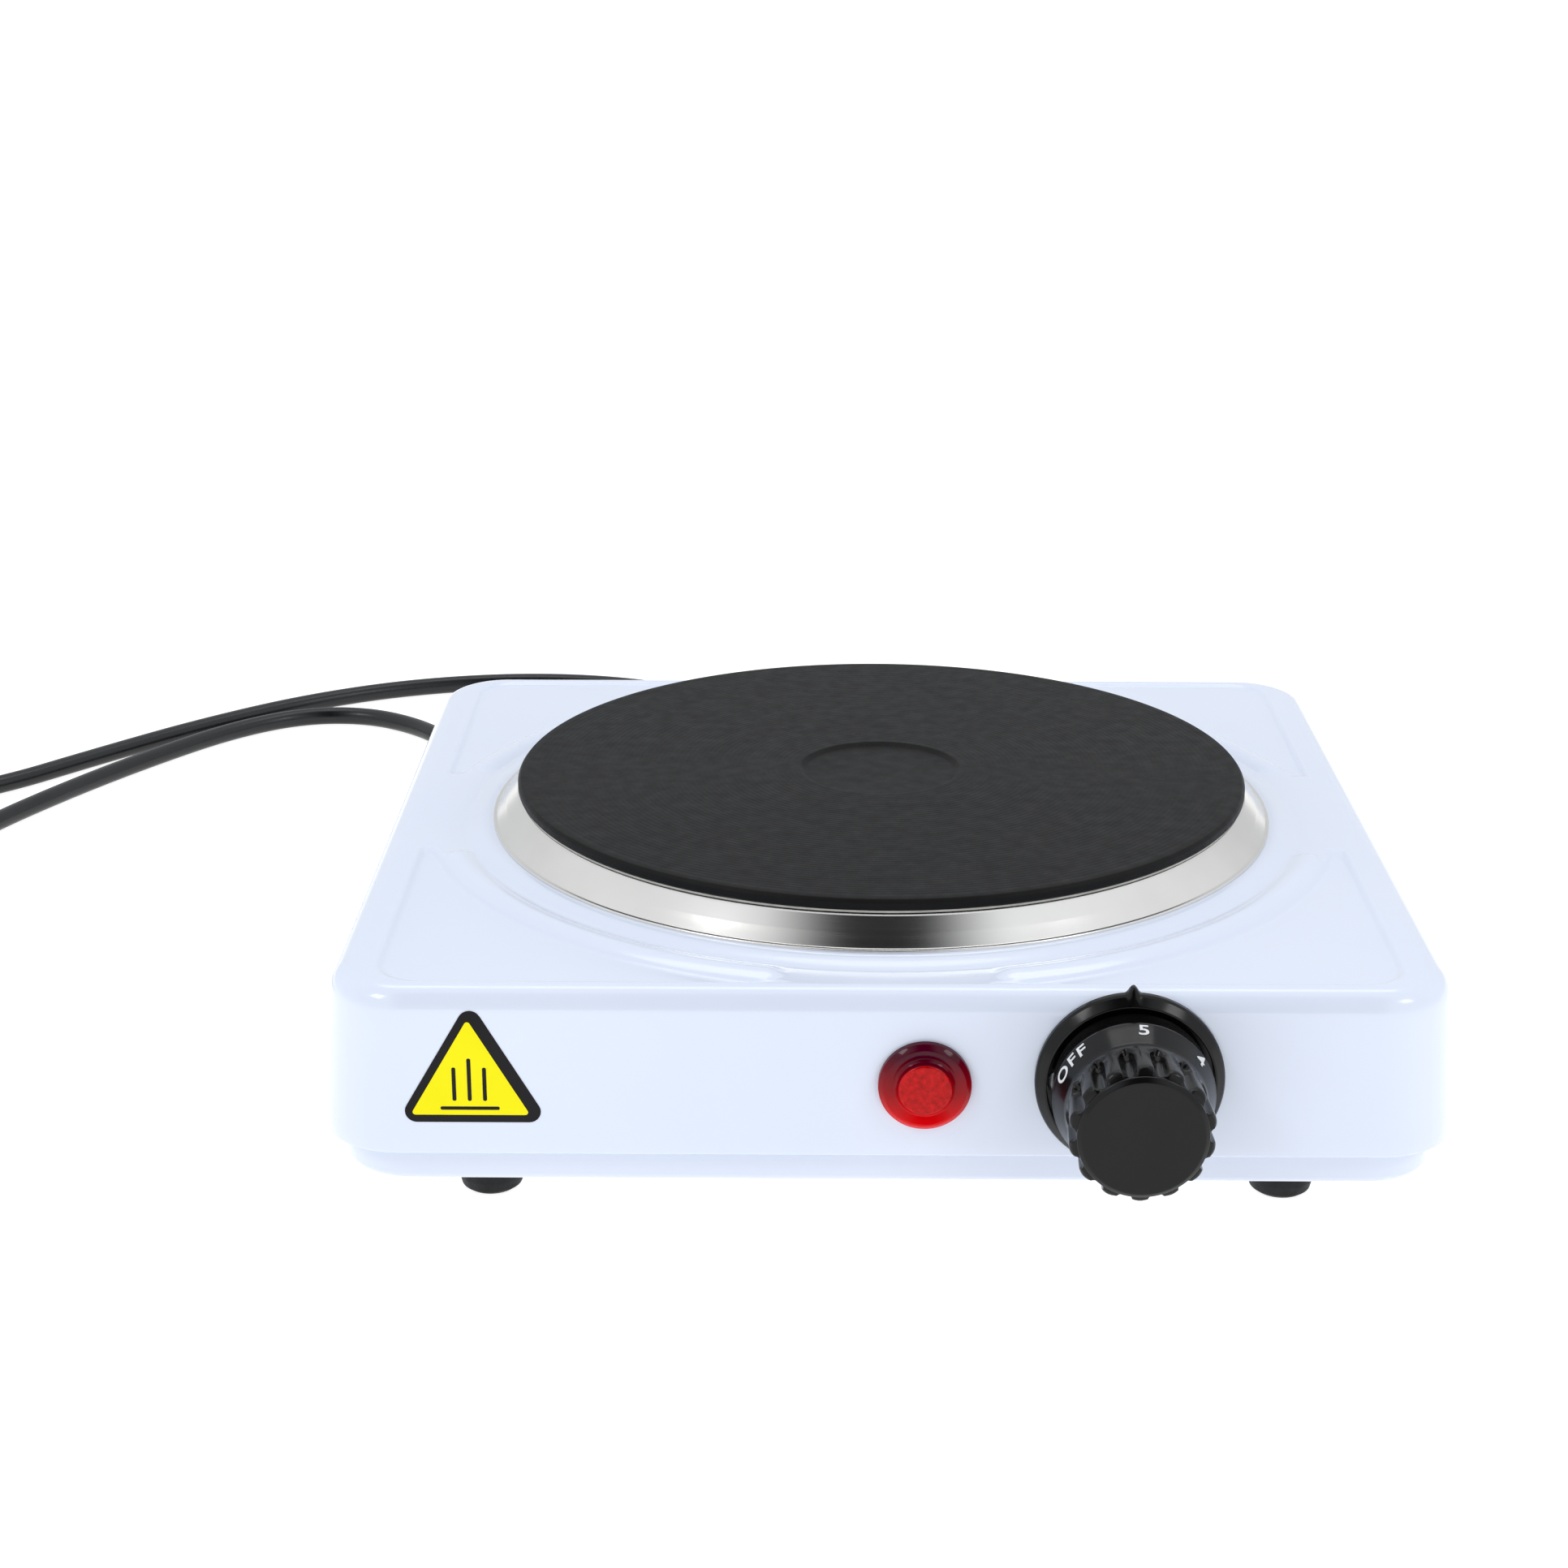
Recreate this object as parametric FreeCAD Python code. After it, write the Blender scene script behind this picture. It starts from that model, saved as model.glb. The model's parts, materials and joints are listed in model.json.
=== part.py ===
# Single electric hot plate: pressed steel box with one cast iron plate,
# a dial thermostat, a pilot lamp and a mains lead.
# Millimetres. +Z up, front (dial side) faces -Y, z = 0 is the surface the
# feet stand on, and x = y = 0 is the middle of the appliance without its lead.
import FreeCAD, Part
import math
import os
from FreeCAD import Vector as V

os.makedirs("parts", exist_ok=True)

# ---------------------------------------------------------------- dimensions
YC = 13.5            # y of the plate axis and of the middle of the box
HY = 108.0           # half depth of the box
HX_RIM = 117.2       # half width at the lower rim
HX_TOP = 114.8       # half width at the top
CORNER_R = 17.0      # vertical corner radius
Z_TOP = 54.0         # top panel
Z_RIM = 18.0         # lower rim of the top housing
SHEET = 1.0          # steel sheet
TOP_R = 5.0          # radius of the top edge
PANEL_DEPTH = 0.8    # sunk corner panels
BEAD_R = 100.6       # centre line of the raised arcs
BEAD_W = 7.4
BEAD_H = 1.1
HOLE_R = 83.4        # plate hole in the top panel

PAN_HX, PAN_HY, PAN_R = 113.2, 105.8, 15.0
PAN_Z0, PAN_Z1 = 11.0, 21.0
PAN_EDGE_R = 1.4

FOOT_X, FOOT_DY = 83.9, 85.8
FOOT_H = 11.0

COLLAR_Z = 55.4      # raised collar round the plate hole
PLATE_R = 84.7
PLATE_Z1 = 64.9
RING_R = 90.6
RING_Z1 = 61.8

KX, KZ = 48.3, 35.4  # dial axis
LX, LZ = 7.05, 34.1  # lamp axis
YF = YC - HY         # front wall, outside
YB = YC + HY         # rear wall, outside
BEZEL_R = 19.15
KNOB_D = 27.0        # dial stands this far out of the front wall

CORD_R = 2.7
CORD_Z = 2.75        # cord centre line when it lies on the surface
EXIT_X, EXIT_Z = -72.0, 31.0
RELIEF_Y1 = 151.5

# Route of the free lead, corner points of its straight runs.
ROUTE = [
    (-72.0, 150.0, 31.0), (-72.0, 168.0, 31.0), (-77.0, 186.0, 23.5),
    (-90.0, 199.5, 12.5), (-109.0, 207.5, 4.8), (-128.5, 218.0, CORD_Z),
    (-143.0, 235.0, CORD_Z), (-160.0, 244.5, CORD_Z), (-180.0, 243.0, CORD_Z),
    (-199.5, 227.5, CORD_Z), (-219.0, 200.0, CORD_Z), (-236.5, 171.0, CORD_Z),
    (-253.0, 138.0, CORD_Z), (-264.0, 103.0, CORD_Z), (-284.0, 73.0, CORD_Z),
    (-315.0, 65.0, CORD_Z), (-340.0, 86.0, CORD_Z), (-343.0, 120.0, CORD_Z),
    (-320.0, 144.0, CORD_Z), (-287.0, 155.0, CORD_Z), (-258.0, 174.0, CORD_Z),
    (-236.0, 201.0, CORD_Z), (-210.0, 231.0, CORD_Z), (-180.0, 258.0, CORD_Z),
    (-146.0, 276.0, CORD_Z), (-107.0, 283.0, CORD_Z), (-70.0, 276.0, CORD_Z),
    (-43.0, 256.0, CORD_Z), (-27.0, 228.0, CORD_Z), (-14.0, 200.0, CORD_Z),
    (-2.0, 180.0, 5.5), (13.0, 168.0, 12.5), (32.0, 165.0, 18.6),
    (52.0, 165.0, 18.6),
]

nodes = {}


# ------------------------------------------------------------------- helpers
def rrect(hx, hy, r, z, cy=YC):
    """Closed wire of a rounded rectangle about (0, cy)."""
    k = r * (1 - math.sqrt(0.5))
    e = []
    e.append(Part.makeLine(V(-hx + r, cy - hy, z), V(hx - r, cy - hy, z)))
    e.append(Part.Arc(V(hx - r, cy - hy, z), V(hx - k, cy - hy + k, z), V(hx, cy - hy + r, z)).toShape())
    e.append(Part.makeLine(V(hx, cy - hy + r, z), V(hx, cy + hy - r, z)))
    e.append(Part.Arc(V(hx, cy + hy - r, z), V(hx - k, cy + hy - k, z), V(hx - r, cy + hy, z)).toShape())
    e.append(Part.makeLine(V(hx - r, cy + hy, z), V(-hx + r, cy + hy, z)))
    e.append(Part.Arc(V(-hx + r, cy + hy, z), V(-hx + k, cy + hy - k, z), V(-hx, cy + hy - r, z)).toShape())
    e.append(Part.makeLine(V(-hx, cy + hy - r, z), V(-hx, cy - hy + r, z)))
    e.append(Part.Arc(V(-hx, cy - hy + r, z), V(-hx + k, cy - hy + k, z), V(-hx + r, cy - hy, z)).toShape())
    return Part.Wire(e)


def block(x0, x1, y0, y1, z0, z1):
    return Part.makeBox(x1 - x0, y1 - y0, z1 - z0, V(x0, y0, z0))


def cyl(r, a, b):
    a, b = V(*a), V(*b)
    return Part.makeCylinder(r, (b - a).Length, a, b - a)


def tube(ro, ri, a, b):
    return cyl(ro, a, b).cut(cyl(ri, a, b))


def lathe(points, axis_point, axis_dir, radial_dir, angle=360.0):
    """Solid of revolution; points are (radius, distance along the axis)."""
    p0, a, u = V(*axis_point), V(*axis_dir), V(*radial_dir)
    pts = [p0 + u * r + a * h for r, h in points]
    pts.append(pts[0])
    return Part.Face(Part.makePolygon(pts)).revolve(p0, a, angle)


def lathe_z(points, cx=0.0, cy=YC):
    return lathe(points, (cx, cy, 0), (0, 0, 1), (1, 0, 0))


def lathe_front(points, x, z, y=YF):
    """Turned about a line that leaves the front wall; heights run outwards."""
    return lathe(points, (x, y, z), (0, -1, 0), (1, 0, 0))


def edges_at(shape, z, tol=1e-4):
    return [e for e in shape.Edges
            if abs(e.BoundBox.ZMin - z) < tol and abs(e.BoundBox.ZMax - z) < tol]


def cord_path(points, factor=0.45, report=None):
    """Straight runs joined by tangent arcs, as large as the runs allow."""
    p = [V(*q) for q in points]
    edges, radii = [], []
    start = p[0]
    for i in range(1, len(p) - 1):
        a, b = p[i] - p[i - 1], p[i + 1] - p[i]
        la, lb = a.Length, b.Length
        ua, ub = V(a).normalize(), V(b).normalize()
        turn = ua.getAngle(ub)
        if turn < 1e-3:
            continue
        cut = factor * min(la, lb)
        radius = cut / math.tan(turn / 2)
        t0, t1 = p[i] - ua * cut, p[i] + ub * cut
        bis = (ub - ua).normalize()
        centre = p[i] + bis * (radius / math.cos(turn / 2))
        mid = centre - bis * radius
        edges.append(Part.makeLine(start, t0))
        edges.append(Part.Arc(t0, mid, t1).toShape())
        start = t1
        radii.append(radius)
    edges.append(Part.makeLine(start, p[-1]))
    wire = Part.Wire(edges)
    if report:
        runs = [(p[i + 1] - p[i]).Length for i in range(len(p) - 1)]
        print(report, "length %.1f" % wire.Length, "smallest radius %.1f" % min(radii),
              "runs %.1f to %.1f" % (min(runs), max(runs)))
        print(report, "radii", " ".join("%.0f" % r for r in radii))
    return wire


def sweep(points, r, factor=0.45, report=None):
    wire = cord_path(points, factor, report)
    d = (V(*points[1]) - V(*points[0])).normalize()
    ring = Part.Wire([Part.Circle(V(*points[0]), d, r).toShape()])
    s = wire.makePipeShell([ring], True, False)
    if report:
        print(report, "volume %.1f, section x length %.1f" % (s.Volume, math.pi * r * r * wire.Length))
    return s


def group(shapes):
    return Part.makeCompound(shapes)


def hexagon(af, z0, z1, cx, cy):
    r = af / math.sqrt(3)
    pts = [V(cx + r * math.cos(math.radians(60 * k)), cy + r * math.sin(math.radians(60 * k)), z0) for k in range(7)]
    return Part.Face(Part.makePolygon(pts)).extrude(V(0, 0, z1 - z0))


# --------------------------------------------------------------- top housing
outer = Part.makeLoft([rrect(HX_RIM, HY, CORNER_R, Z_RIM), rrect(HX_TOP, HY, CORNER_R, Z_TOP)], True, True)
outer = outer.makeFillet(TOP_R, edges_at(outer, Z_TOP))
dz = SHEET / (Z_TOP - Z_RIM) * (HX_RIM - HX_TOP)
inner = Part.makeLoft([rrect(HX_RIM - SHEET + dz, HY - SHEET, CORNER_R - SHEET, Z_RIM - 1.0),
                       rrect(HX_TOP - SHEET, HY - SHEET, CORNER_R - SHEET, Z_TOP - SHEET)], True, True)
inner = inner.makeFillet(TOP_R - SHEET, edges_at(inner, Z_TOP - SHEET))


def corner_panels(grow, z0, z1):
    out = []
    for sx in (-1, 1):
        for sy in (-1, 1):
            x0, x1 = 22.0 - grow, 104.5 + grow
            y0, y1 = 27.0 - grow, 101.8 + grow
            b = block(min(sx * x0, sx * x1), max(sx * x0, sx * x1),
                      min(YC + sy * y0, YC + sy * y1), max(YC + sy * y0, YC + sy * y1), z0, z1)
            corner = [e for e in b.Edges
                      if abs(e.BoundBox.XMin - sx * x1) < 1e-4 and abs(e.BoundBox.XMax - sx * x1) < 1e-4
                      and abs(e.BoundBox.YMin - (YC + sy * y1)) < 1e-4 and abs(e.BoundBox.YMax - (YC + sy * y1)) < 1e-4]
            b = b.makeFillet(9.0 + grow, corner)
            b = b.cut(cyl(105.0 - grow, (0, YC, z0 - 1), (0, YC, z1 + 1)))
            out.append(b)
    return out


for pad in corner_panels(1.0, Z_TOP - SHEET - PANEL_DEPTH, Z_TOP):
    inner = inner.cut(pad)
housing = outer.cut(inner)
for pad in corner_panels(0.0, Z_TOP - PANEL_DEPTH, Z_TOP + 1.0):
    housing = housing.cut(pad)

# raised arcs, one in each quarter
k = BEAD_W / 2
rad = (k * k + BEAD_H * BEAD_H) / (2 * BEAD_H)
for start in (197.0, 283.0, 17.0, 103.0):
    arc = Part.Arc(V(BEAD_R - k, YC, Z_TOP), V(BEAD_R, YC, Z_TOP + BEAD_H), V(BEAD_R + k, YC, Z_TOP)).toShape()
    prof = Part.Face(Part.Wire([arc, Part.makeLine(V(BEAD_R + k, YC, Z_TOP), V(BEAD_R + k, YC, Z_TOP - 0.3)),
                                Part.makeLine(V(BEAD_R + k, YC, Z_TOP - 0.3), V(BEAD_R - k, YC, Z_TOP - 0.3)),
                                Part.makeLine(V(BEAD_R - k, YC, Z_TOP - 0.3), V(BEAD_R - k, YC, Z_TOP))]))
    bead = prof.revolve(V(0, YC, 0), V(0, 0, 1), 60.0)
    bead.rotate(V(0, YC, 0), V(0, 0, 1), start)
    housing = housing.fuse(bead)

# raised collar round the hole, pressed from the same sheet
housing = housing.fuse(lathe_z([(80.0, 53.5), (80.0, COLLAR_Z), (92.0, COLLAR_Z), (97.5, Z_TOP), (97.5, 53.5)]))
housing = housing.cut(lathe_z([(79.0, 52.0), (79.0, COLLAR_Z - SHEET), (90.8, COLLAR_Z - SHEET), (91.2, Z_TOP - SHEET), (91.2, 52.0)]))
housing = housing.cut(cyl(HOLE_R, (0, YC, 40), (0, YC, 60)))
housing = housing.cut(cyl(5.4, (KX, YF - 2, KZ), (KX, YF + 2, KZ)))
for s in (-14, 14):
    housing = housing.cut(cyl(2.1, (KX + s, YF - 2, KZ), (KX + s, YF + 2, KZ)))
housing = housing.cut(cyl(6.2, (LX, YF - 2, LZ), (LX, YF + 2, LZ)))
housing = housing.cut(cyl(7.0, (EXIT_X, YB - 2, EXIT_Z), (EXIT_X, YB + 2, EXIT_Z)))
nodes["top_housing"] = housing

# ------------------------------------------------------------------ base pan
pan = Part.Face(rrect(PAN_HX, PAN_HY, PAN_R, PAN_Z0)).extrude(V(0, 0, PAN_Z1 - PAN_Z0))
pan = pan.makeFillet(PAN_EDGE_R, edges_at(pan, PAN_Z0))
pin_ = Part.Face(rrect(PAN_HX - SHEET, PAN_HY - SHEET, PAN_R - SHEET, PAN_Z0 + SHEET)).extrude(V(0, 0, PAN_Z1 - PAN_Z0 + 1))
pin_ = pin_.makeFillet(PAN_EDGE_R - SHEET, edges_at(pin_, PAN_Z0 + SHEET))
pan = pan.cut(pin_)
feet_at = [(sx * FOOT_X, YC + sy * FOOT_DY) for sx in (-1, 1) for sy in (-1, 1)]
for x, y in feet_at:
    pan = pan.cut(cyl(2.3, (x, y, 5), (x, y, 15)))
# ventilation slots under the plate
for i in range(7):
    for sx in (-1, 1):
        cx, cy = sx * 52.0, YC - 36.0 + 12.0 * i
        slot = block(cx - 13, cx + 13, cy - 1.75, cy + 1.75, 5, 15)
        slot = slot.fuse(cyl(1.75, (cx - 13, cy, 5), (cx - 13, cy, 15))).fuse(cyl(1.75, (cx + 13, cy, 5), (cx + 13, cy, 15)))
        pan = pan.cut(slot)
nodes["base_pan"] = pan

# --------------------------------------------------------- feet and fixings
foot_prof = [(2.2, 11.0), (7.5, 11.0), (7.5, 9.0), (6.9, 3.0), (6.4, 1.1), (5.3, 0.0), (3.8, 0.0), (3.8, 6.4), (2.2, 6.4)]
nodes["rubber_feet"] = group([lathe_z(foot_prof, x, y) for x, y in feet_at])
screw_prof = [(0, 30.0), (2.0, 30.0), (2.0, 6.4), (3.5, 6.4), (3.5, 4.6), (3.1, 4.2), (0, 4.2)]
nodes["foot_screws"] = group([lathe_z(screw_prof, x, y) for x, y in feet_at])
nodes["corner_standoffs"] = group([hexagon(9.0, 12.0, Z_TOP - SHEET - PANEL_DEPTH, x, y).cut(cyl(2.0, (x, y, 11), (x, y, 31)))
                                   for x, y in feet_at])

# ------------------------------------------------------------ trim and plate
nodes["steel_trim_ring"] = lathe_z([
    (RING_R, COLLAR_Z), (RING_R, 55.9), (89.8, 56.0), (84.7, 61.4), (84.3, RING_Z1), (82.4, RING_Z1),
    (82.4, 50.0), (83.0, 50.0), (83.0, 61.2), (84.1, 61.2), (89.2, COLLAR_Z)])
nodes["plate_gasket"] = lathe_z([(82.4, RING_Z1), (84.1, RING_Z1), (84.1, 62.2), (82.4, 62.2)])
nodes["cast_iron_plate"] = lathe_z([
    (0, 64.1), (18.0, 64.1), (19.0, PLATE_Z1), (83.7, PLATE_Z1), (84.4, 64.6), (PLATE_R, 63.9), (PLATE_R, 62.6), (84.4, 62.2), (82.0, 62.2),
    (82.0, 52.0), (76.0, 52.0), (76.0, 58.0), (22.0, 58.0), (22.0, 50.0), (3.9, 50.0), (3.9, 56.5), (0, 56.5)])


# heating coil: one element, an outer and an inner turn and two legs
def turn_arc(R, r, a0, sweep_deg, z):
    c = Part.Face(Part.Wire([Part.Circle(V(R, YC, z), V(0, 1, 0), r).toShape()]))
    s = c.revolve(V(0, YC, 0), V(0, 0, 1), sweep_deg)
    s.rotate(V(0, YC, 0), V(0, 0, 1), a0)
    return s


def polar(R, deg, z):
    return (R * math.cos(math.radians(deg)), YC + R * math.sin(math.radians(deg)), z)


COIL_Z = 55.5
R1, R2 = 64.0, 42.0
coil = turn_arc(R1, 2.2, 275, 350, COIL_Z).fuse(turn_arc(R2, 2.2, 275, 350, COIL_Z))
coil = coil.fuse(cyl(2.2, polar(R2, 265, COIL_Z), polar(R1, 265, COIL_Z)))
for R in (R1, R2):
    coil = coil.fuse(Part.makeSphere(2.2, V(*polar(R, 265, COIL_Z)))).fuse(Part.makeSphere(2.2, V(*polar(R, 275, COIL_Z))))
    coil = coil.fuse(cyl(1.5, polar(R, 275, 38.0), polar(R, 275, COIL_Z)))
nodes["heating_coil"] = coil
fill = lathe_z([(22.0, 53.0), (76.0, 53.0), (76.0, 58.0), (22.0, 58.0)])
nodes["ceramic_fill"] = fill.cut(coil)
cover = lathe_z([(22.0, 51.4), (81.0, 51.4), (81.0, 52.0), (22.0, 52.0)])
for R in (R1, R2):
    cover = cover.cut(cyl(4.1, polar(R, 275, 50), polar(R, 275, 53)))
nodes["element_cover"] = cover
shield = lathe_z([(4.2, 43.2), (79.0, 43.2), (79.0, 44.0), (4.2, 44.0)])
for R in (R1, R2):
    shield = shield.cut(cyl(4.1, polar(R, 275, 42), polar(R, 275, 45)))
nodes["heat_shield"] = shield
nodes["lead_insulators"] = group([tube(4.0, 1.5, polar(R, 275, 41.0), polar(R, 275, 53.0)) for R in (R1, R2)])
nodes["centre_stud"] = cyl(3.9, (0, YC, 31.0), (0, YC, 56.5))
nodes["stud_spacer"] = tube(7.0, 4.2, (0, YC, 44.0), (0, YC, 50.0))
bar = block(-84.0, 84.0, YC - 10, YC + 10, 41.6, 43.2)
for s in (-1, 1):
    bar = bar.fuse(block(min(s * 84.0, s * 85.6), max(s * 84.0, s * 85.6), YC - 10, YC + 10, 41.6, 53.0))
    bar = bar.fuse(block(min(s * 85.6, s * 98.0), max(s * 85.6, s * 98.0), YC - 10, YC + 10, 51.4, 53.0))
nodes["cross_bracket"] = bar.cut(cyl(4.2, (0, YC, 40), (0, YC, 45))).removeSplitter()
nodes["stud_washer"] = tube(9.0, 4.2, (0, YC, 40.2), (0, YC, 41.6))
nodes["stud_nut"] = hexagon(13.0, 33.7, 40.2, 0, YC).cut(cyl(3.9, (0, YC, 33), (0, YC, 41)))

# ----------------------------------------------------------------- thermostat
Y0 = YF + SHEET                                   # inside of the front wall
tb = block(KX - 18, KX + 18, Y0, Y0 + 1.2, KZ - 11, KZ + 11).cut(cyl(4.8, (KX, Y0 - 1, KZ), (KX, Y0 + 3, KZ)))
for s in (-14, 14):
    tb = tb.cut(cyl(1.9, (KX + s, Y0 - 1, KZ), (KX + s, Y0 + 3, KZ)))
nodes["thermostat_bracket"] = tb
YT = Y0 + 1.2                                     # front of the thermostat body
body = block(KX - 15, KX + 15, YT, YT + 22.0, KZ - 13, KZ + 13)
body = body.cut(block(KX - 11, KX + 11, YT + 8.3, YT + 11.9, KZ - 9, KZ + 14))
body = body.cut(block(KX - 11, KX + 11, YT + 14.3, YT + 19.3, KZ - 9, KZ + 14))
body = body.cut(cyl(4.8, (KX, YT - 1, KZ), (KX, YT + 9, KZ)))
body = body.cut(cyl(1.56, (KX, YT + 11, KZ), (KX, YT + 15, KZ)))
nodes["thermostat_body"] = body
nodes["thermostat_bush"] = tube(4.8, 3.05, (KX, YF - 1.6, KZ), (KX, YT + 8.3, KZ))
nodes["contact_blade"] = block(KX - 11, KX + 9, YT + 16.7, YT + 17.1, KZ - 3, KZ + 3)
nodes["fixed_contact"] = block(KX + 3, KX + 11, YT + 18.5, YT + 19.3, KZ - 3, KZ + 3)
nodes["contact_points"] = group([cyl(1.6, (KX + 6, YT + 17.1, KZ), (KX + 6, YT + 17.8, KZ)),
                                 cyl(1.6, (KX + 6, YT + 17.8, KZ), (KX + 6, YT + 18.5, KZ))])
bim = block(KX - 14, KX + 14, YT + 4.0, YT + 8.0, KZ + 13.6, KZ + 14.4)
bim = bim.fuse(block(KX - 14, KX - 9, YT + 4.0, YT + 8.0, KZ + 13.0, KZ + 13.6)).removeSplitter()
nodes["bimetal_strip"] = bim
nodes["thermostat_terminals"] = group([block(KX - 24, KX - 15, YT + 12.4, YT + 13.2, KZ - 3, KZ + 3),
                                       block(KX + 15, KX + 24, YT + 12.4, YT + 13.2, KZ - 3, KZ + 3)])
nodes["thermostat_screws"] = group([lathe_front([(0, 2.3), (2.0, 2.3), (2.7, 1.8), (2.7, 1.0), (1.9, 1.0), (1.9, -2.2), (0, -2.2)], KX + s, KZ)
                                    for s in (-14, 14)])

# moving: spindle, pin, knob and its clip
sp = lathe_front([(0, 19.8), (2.6, 19.8), (3.0, 19.4), (3.0, -10.7), (4.3, -10.7), (4.3, -11.7), (2.0, -11.7), (2.0, -12.4), (0, -12.4)], KX, KZ)
sp = sp.cut(block(KX - 4, KX + 4, YF - 20.5, YF - 7.0, KZ + 2.2, KZ + 4))
nodes["thermostat_spindle"] = sp
nodes["adjusting_pin"] = cyl(1.5, (KX, YF + 12.7, KZ), (KX, YF + 17.9, KZ))
nodes["knob_clip"] = block(KX - 1.2, KX + 1.2, YF - 19.0, YF - 7.6, KZ + 2.2, KZ + 2.7)

# ---------------------------------------------------------------- knob, bezel
knob = lathe_front([(0, KNOB_D), (11.9, KNOB_D), (12.85, 26.3), (12.95, 25.8), (12.75, 25.5), (13.9, 25.2), (14.5, 24.5), (14.3, 19.0), (14.1, 14.5),
                    (16.3, 9.1), (16.3, 8.5), (16.0, 8.0), (15.8, 2.8), (14.2, 2.8), (14.2, 7.6),
                    (10.8, 12.5), (5.6, 12.5), (5.6, 2.8), (3.0, 2.8), (3.0, 20.0), (0, 20.0)], KX, KZ)
RIBS = 14
for i in range(RIBS):
    a = math.radians(360.0 / RIBS * (i + 0.5))
    gx, gz = KX + 14.4 * math.sin(a), KZ + 14.4 * math.cos(a)
    flute = cyl(1.55, (gx, YF - 16.2, gz), (gx, YF - 25.4, gz)).fuse(Part.makeSphere(1.55, V(gx, YF - 16.2, gz)))
    knob = knob.cut(flute)
nodes["knob"] = knob

bezel = lathe_front([(5.4, 0), (BEZEL_R, 0), (BEZEL_R, 1.1), (18.8, 1.7), (17.2, 3.2), (16.8, 3.2), (16.8, 1.0), (5.4, 1.0)], KX, KZ)
tip = Part.Face(Part.makePolygon([V(KX - 1.6, YF, KZ + 18.2), V(KX + 1.6, YF, KZ + 18.2), V(KX + 0.4, YF, KZ + 20.7),
                                  V(KX - 0.4, YF, KZ + 20.7), V(KX - 1.6, YF, KZ + 18.2)])).extrude(V(0, -1.4, 0))
bezel = bezel.fuse(tip)
for s in (-14, 14):
    bezel = bezel.cut(cyl(2.0, (KX + s, YF - 2, KZ), (KX + s, YF + 1, KZ)))
nodes["knob_bezel"] = bezel.removeSplitter()

# ----------------------------------------------------------------------- lamp
nodes["lamp_lens"] = lathe_front([(9.5, 0), (9.5, 0.8), (7.9, 2.4), (6.0, 2.4), (5.6, 3.2), (0, 3.2), (0, 0.8), (4.5, 0.8), (4.5, -15.0), (6.0, -15.0), (6.0, 0)][::-1], LX, LZ)
nodes["lamp_clip"] = tube(9.6, 6.0, (LX, Y0, LZ), (LX, Y0 + 0.6, LZ))
nodes["neon_bulb"] = lathe_front([(0, 0.2), (1.2, 0.0), (2.5, -1.3), (2.9, -3.0), (2.9, -12.2), (0, -12.2)], LX, LZ)
nodes["lamp_cap"] = cyl(4.5, (LX, YF + 12.2, LZ), (LX, YF + 15.0, LZ))

# ------------------------------------------------------- hot surface sign
def sign(size, r, y0, y1, zc):
    h = size * math.sqrt(3) / 2
    c = [V(-84.6 - size / 2, y0, zc - h / 3), V(-84.6 + size / 2, y0, zc - h / 3), V(-84.6, y0, zc + 2 * h / 3)]
    pr = Part.Face(Part.makePolygon(c + [c[0]])).extrude(V(0, y1 - y0, 0))
    ed = [e for e in pr.Edges if abs(e.BoundBox.YMax - e.BoundBox.YMin - abs(y1 - y0)) < 1e-3 and e.BoundBox.XMax - e.BoundBox.XMin < 1e-3]
    return pr.makeFillet(r, ed)


nodes["hot_surface_sign"] = sign(31.2, 2.4, YF, YF - 0.2, 34.2)

# ------------------------------------------------- terminal block and wiring
tblk = block(-70, -38, 60, 74, 12, 26)
for x in (-64, -54, -44):
    tblk = tblk.cut(cyl(2.0, (x, 67, 21.9), (x, 67, 27)))
for x in (-59, -49):
    tblk = tblk.cut(block(x - 0.8, x + 0.8, 59, 75, 22.5, 27))
nodes["terminal_block"] = tblk
nodes["terminal_screws"] = group([cyl(2.0, (x, 67, 21.9), (x, 67, 25.0)) for x in (-64, -54, -44)])

WR = 1.1
nodes["cord_tail"] = cyl(CORD_R, (EXIT_X, 104.0, EXIT_Z), (EXIT_X, 150.0, EXIT_Z))
nodes["supply_wires"] = group([
    sweep([(-73.4, 104, 31.3), (-73.4, 95, 31.3), (-64, 85, 21), (-64, 74, 21)], WR),
    sweep([(-70.9, 104, 31.9), (-70.9, 97, 31.9), (-54, 86, 21), (-54, 74, 21)], WR),
    sweep([(-71.4, 104, 29.5), (-71.4, 98, 28.0), (-58, 90, 18.0), (-44, 84, 17.0), (-44, 74, 17.0)], WR)])
nodes["live_wire"] = sweep([(-64, 60, 21), (-64, 44, 17), (-62, 5, 15.5), (-48, -32, 15.5), (-14, -58, 15.5), (34, -62, 15.5), (62, -68, 15.5),
                            (KX + 20, YT + 12.8, 20), (KX + 20, YT + 12.8, KZ - 3)], WR)
bx, by, _ = polar(R2, 275, 0)
ax, ay, _ = polar(R1, 275, 0)
nodes["neutral_wires"] = group([
    sweep([(-54, 60, 21), (-54, 44, 18), (-48, 8, 20), (-40, -22, 32), (-33, -30, 40.1), (-21, -30, 40.1)], WR),
    sweep([(-7, -30, 40.1), (-3, -29.8, 38), (bx, by, 32.0), (bx, by, 38.0)], 0.9)])
nodes["thermal_fuse"] = cyl(2.5, (-21, -30, 40.1), (-7, -30, 40.1))
clip = tube(3.1, 2.5, (-17, -30, 40.1), (-11, -30, 40.1)).fuse(
    block(-17, -11, -37, -23, 42.7, 43.2).cut(cyl(2.5, (-18, -30, 40.1), (-10, -30, 40.1))))
nodes["fuse_clip"] = clip.removeSplitter()
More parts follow.
